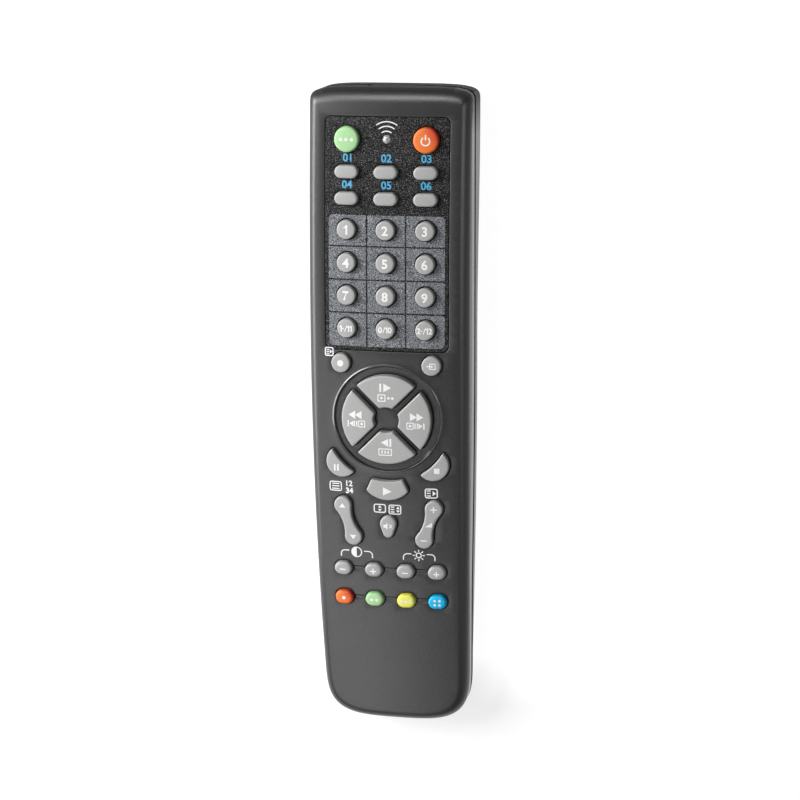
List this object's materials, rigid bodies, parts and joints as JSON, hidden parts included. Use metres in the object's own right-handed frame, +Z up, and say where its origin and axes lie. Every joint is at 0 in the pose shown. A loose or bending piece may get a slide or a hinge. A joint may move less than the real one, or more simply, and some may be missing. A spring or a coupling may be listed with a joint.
{
  "type": "universal remote control",
  "caption": "Hand-held infrared remote control: arched plastic case, sprung rubber keys, round direction pad, rocker keys, dark end window and a sliding battery cover.",
  "frame": {"origin": "on the flat back, under the middle of the case, where the remote rests on a table", "axes": "+Z up out of the key face, +Y along the case towards the infrared end, +X to the right of someone reading the keys"},
  "size_m": [0.0494, 0.201, 0.0258],
  "materials": {
    "shell": "fine moulded grain",
    "overlay": "coarse grain",
    "window": "polished, dark",
    "clear_led": "clear",
    "silicone": "matt",
    "board": "solder mask",
    "ir_led": "tinted",
    "chip": "matt",
    "resonator": "dipped",
    "capacitor": "sleeved can",
    "cell": "labelled can",
    "contact": "nickel plated",
    "screw": "zinc plated",
    "key_grey": "matt",
    "key_light_green": "matt",
    "key_orange": "matt",
    "key_yellow": "matt",
    "key_blue": "matt"
  },
  "bodies": {
    "case": {"top_shell": "shell", "bottom_shell": "shell", "keypad_overlay": "overlay", "ir_window": "window", "indicator_led": "clear_led", "keypad_mat": "silicone", "circuit_board": "board", "ir_leds": "ir_led", "controller_chip": "chip", "resonator": "resonator", "capacitor": "capacitor", "driver_transistor": "chip", "cells": "cell", "contact_plates": "contact", "cell_springs": "contact", "board_screws": "screw", "case_screws": "screw"},
    "key_set": {"key_set": "key_light_green"},
    "key_power": {"key_power": "key_orange"},
    "key_device_1": {"key_device_1": "key_grey"},
    "key_device_2": {"key_device_2": "key_grey"},
    "key_device_3": {"key_device_3": "key_grey"},
    "key_device_4": {"key_device_4": "key_grey"},
    "key_device_5": {"key_device_5": "key_grey"},
    "key_device_6": {"key_device_6": "key_grey"},
    "key_num_1": {"key_num_1": "key_grey"},
    "key_num_2": {"key_num_2": "key_grey"},
    "key_num_3": {"key_num_3": "key_grey"},
    "key_num_4": {"key_num_4": "key_grey"},
    "key_num_5": {"key_num_5": "key_grey"},
    "key_num_6": {"key_num_6": "key_grey"},
    "key_num_7": {"key_num_7": "key_grey"},
    "key_num_8": {"key_num_8": "key_grey"},
    "key_num_9": {"key_num_9": "key_grey"},
    "key_num_11": {"key_num_11": "key_grey"},
    "key_num_0": {"key_num_0": "key_grey"},
    "key_num_12": {"key_num_12": "key_grey"},
    "key_record": {"key_record": "key_grey"},
    "key_input": {"key_input": "key_grey"},
    "key_pad_up": {"key_pad_up": "key_grey"},
    "key_pad_left": {"key_pad_left": "key_grey"},
    "key_pad_down": {"key_pad_down": "key_grey"},
    "key_pad_right": {"key_pad_right": "key_grey"},
    "key_pause": {"key_pause": "key_grey"},
    "key_stop": {"key_stop": "key_grey"},
    "key_play": {"key_play": "key_grey"},
    "key_mute": {"key_mute": "key_grey"},
    "rocker_channel": {"rocker_channel": "key_grey"},
    "rocker_volume": {"rocker_volume": "key_grey"},
    "key_contrast_minus": {"key_contrast_minus": "key_grey"},
    "key_contrast_plus": {"key_contrast_plus": "key_grey"},
    "key_bright_minus": {"key_bright_minus": "key_grey"},
    "key_bright_plus": {"key_bright_plus": "key_grey"},
    "key_red": {"key_red": "key_orange"},
    "key_green": {"key_green": "key_light_green"},
    "key_yellow": {"key_yellow": "key_yellow"},
    "key_blue": {"key_blue": "key_blue"},
    "battery_cover": {"battery_cover": "shell"}
  },
  "joints": [
    {"name": "key_set_press", "type": "slide", "parent": "case", "child": "key_set", "axis": [0, 0, -1], "range_m": [0, 0.0008], "stiffness_N_per_m": 800},
    {"name": "key_power_press", "type": "slide", "parent": "case", "child": "key_power", "axis": [0, 0, -1], "range_m": [0, 0.0008], "stiffness_N_per_m": 800},
    {"name": "key_device_1_press", "type": "slide", "parent": "case", "child": "key_device_1", "axis": [0, 0, -1], "range_m": [0, 0.0008], "stiffness_N_per_m": 800},
    {"name": "key_device_2_press", "type": "slide", "parent": "case", "child": "key_device_2", "axis": [0, 0, -1], "range_m": [0, 0.0008], "stiffness_N_per_m": 800},
    {"name": "key_device_3_press", "type": "slide", "parent": "case", "child": "key_device_3", "axis": [0, 0, -1], "range_m": [0, 0.0008], "stiffness_N_per_m": 800},
    {"name": "key_device_4_press", "type": "slide", "parent": "case", "child": "key_device_4", "axis": [0, 0, -1], "range_m": [0, 0.0008], "stiffness_N_per_m": 800},
    {"name": "key_device_5_press", "type": "slide", "parent": "case", "child": "key_device_5", "axis": [0, 0, -1], "range_m": [0, 0.0008], "stiffness_N_per_m": 800},
    {"name": "key_device_6_press", "type": "slide", "parent": "case", "child": "key_device_6", "axis": [0, 0, -1], "range_m": [0, 0.0008], "stiffness_N_per_m": 800},
    {"name": "key_num_1_press", "type": "slide", "parent": "case", "child": "key_num_1", "axis": [0, 0, -1], "range_m": [0, 0.0008], "stiffness_N_per_m": 800},
    {"name": "key_num_2_press", "type": "slide", "parent": "case", "child": "key_num_2", "axis": [0, 0, -1], "range_m": [0, 0.0008], "stiffness_N_per_m": 800},
    {"name": "key_num_3_press", "type": "slide", "parent": "case", "child": "key_num_3", "axis": [0, 0, -1], "range_m": [0, 0.0008], "stiffness_N_per_m": 800},
    {"name": "key_num_4_press", "type": "slide", "parent": "case", "child": "key_num_4", "axis": [0, 0, -1], "range_m": [0, 0.0008], "stiffness_N_per_m": 800},
    {"name": "key_num_5_press", "type": "slide", "parent": "case", "child": "key_num_5", "axis": [0, 0, -1], "range_m": [0, 0.0008], "stiffness_N_per_m": 800},
    {"name": "key_num_6_press", "type": "slide", "parent": "case", "child": "key_num_6", "axis": [0, 0, -1], "range_m": [0, 0.0008], "stiffness_N_per_m": 800},
    {"name": "key_num_7_press", "type": "slide", "parent": "case", "child": "key_num_7", "axis": [0, 0, -1], "range_m": [0, 0.0008], "stiffness_N_per_m": 800},
    {"name": "key_num_8_press", "type": "slide", "parent": "case", "child": "key_num_8", "axis": [0, 0, -1], "range_m": [0, 0.0008], "stiffness_N_per_m": 800},
    {"name": "key_num_9_press", "type": "slide", "parent": "case", "child": "key_num_9", "axis": [0, 0, -1], "range_m": [0, 0.0008], "stiffness_N_per_m": 800},
    {"name": "key_num_11_press", "type": "slide", "parent": "case", "child": "key_num_11", "axis": [0, 0, -1], "range_m": [0, 0.0008], "stiffness_N_per_m": 800},
    {"name": "key_num_0_press", "type": "slide", "parent": "case", "child": "key_num_0", "axis": [0, 0, -1], "range_m": [0, 0.0008], "stiffness_N_per_m": 800},
    {"name": "key_num_12_press", "type": "slide", "parent": "case", "child": "key_num_12", "axis": [0, 0, -1], "range_m": [0, 0.0008], "stiffness_N_per_m": 800},
    {"name": "key_record_press", "type": "slide", "parent": "case", "child": "key_record", "axis": [0, 0, -1], "range_m": [0, 0.0008], "stiffness_N_per_m": 800},
    {"name": "key_input_press", "type": "slide", "parent": "case", "child": "key_input", "axis": [0, 0, -1], "range_m": [0, 0.0008], "stiffness_N_per_m": 800},
    {"name": "key_pad_up_press", "type": "slide", "parent": "case", "child": "key_pad_up", "axis": [0, 0, -1], "range_m": [0, 0.0008], "stiffness_N_per_m": 800},
    {"name": "key_pad_left_press", "type": "slide", "parent": "case", "child": "key_pad_left", "axis": [0, 0, -1], "range_m": [0, 0.0008], "stiffness_N_per_m": 800},
    {"name": "key_pad_down_press", "type": "slide", "parent": "case", "child": "key_pad_down", "axis": [0, 0, -1], "range_m": [0, 0.0008], "stiffness_N_per_m": 800},
    {"name": "key_pad_right_press", "type": "slide", "parent": "case", "child": "key_pad_right", "axis": [0, 0, -1], "range_m": [0, 0.0008], "stiffness_N_per_m": 800},
    {"name": "key_pause_press", "type": "slide", "parent": "case", "child": "key_pause", "axis": [0, 0, -1], "range_m": [0, 0.0008], "stiffness_N_per_m": 800},
    {"name": "key_stop_press", "type": "slide", "parent": "case", "child": "key_stop", "axis": [0, 0, -1], "range_m": [0, 0.0008], "stiffness_N_per_m": 800},
    {"name": "key_play_press", "type": "slide", "parent": "case", "child": "key_play", "axis": [0, 0, -1], "range_m": [0, 0.0008], "stiffness_N_per_m": 800},
    {"name": "key_mute_press", "type": "slide", "parent": "case", "child": "key_mute", "axis": [0, 0, -1], "range_m": [0, 0.0008], "stiffness_N_per_m": 800},
    {"name": "rocker_channel_rock", "type": "hinge", "parent": "case", "child": "rocker_channel", "pos_m": [-0.01272, -0.0324, 0.02059], "axis": [0.9542, 0.299, 0], "range_deg": [-3, 3], "stiffness_Nm_per_rad": 0.14},
    {"name": "rocker_volume_rock", "type": "hinge", "parent": "case", "child": "rocker_volume", "pos_m": [0.01272, -0.0324, 0.02059], "axis": [0.9542, -0.299, 0], "range_deg": [-3, 3], "stiffness_Nm_per_rad": 0.14},
    {"name": "key_contrast_minus_press", "type": "slide", "parent": "case", "child": "key_contrast_minus", "axis": [0, 0, -1], "range_m": [0, 0.0008], "stiffness_N_per_m": 800},
    {"name": "key_contrast_plus_press", "type": "slide", "parent": "case", "child": "key_contrast_plus", "axis": [0, 0, -1], "range_m": [0, 0.0008], "stiffness_N_per_m": 800},
    {"name": "key_bright_minus_press", "type": "slide", "parent": "case", "child": "key_bright_minus", "axis": [0, 0, -1], "range_m": [0, 0.0008], "stiffness_N_per_m": 800},
    {"name": "key_bright_plus_press", "type": "slide", "parent": "case", "child": "key_bright_plus", "axis": [0, 0, -1], "range_m": [0, 0.0008], "stiffness_N_per_m": 800},
    {"name": "key_red_press", "type": "slide", "parent": "case", "child": "key_red", "axis": [0, 0, -1], "range_m": [0, 0.0008], "stiffness_N_per_m": 800},
    {"name": "key_green_press", "type": "slide", "parent": "case", "child": "key_green", "axis": [0, 0, -1], "range_m": [0, 0.0008], "stiffness_N_per_m": 800},
    {"name": "key_yellow_press", "type": "slide", "parent": "case", "child": "key_yellow", "axis": [0, 0, -1], "range_m": [0, 0.0008], "stiffness_N_per_m": 800},
    {"name": "key_blue_press", "type": "slide", "parent": "case", "child": "key_blue", "axis": [0, 0, -1], "range_m": [0, 0.0008], "stiffness_N_per_m": 800},
    {"name": "battery_cover_slide", "type": "slide", "parent": "case", "child": "battery_cover", "axis": [0, -1, 0], "range_m": [0, 0.066]}
  ]
}
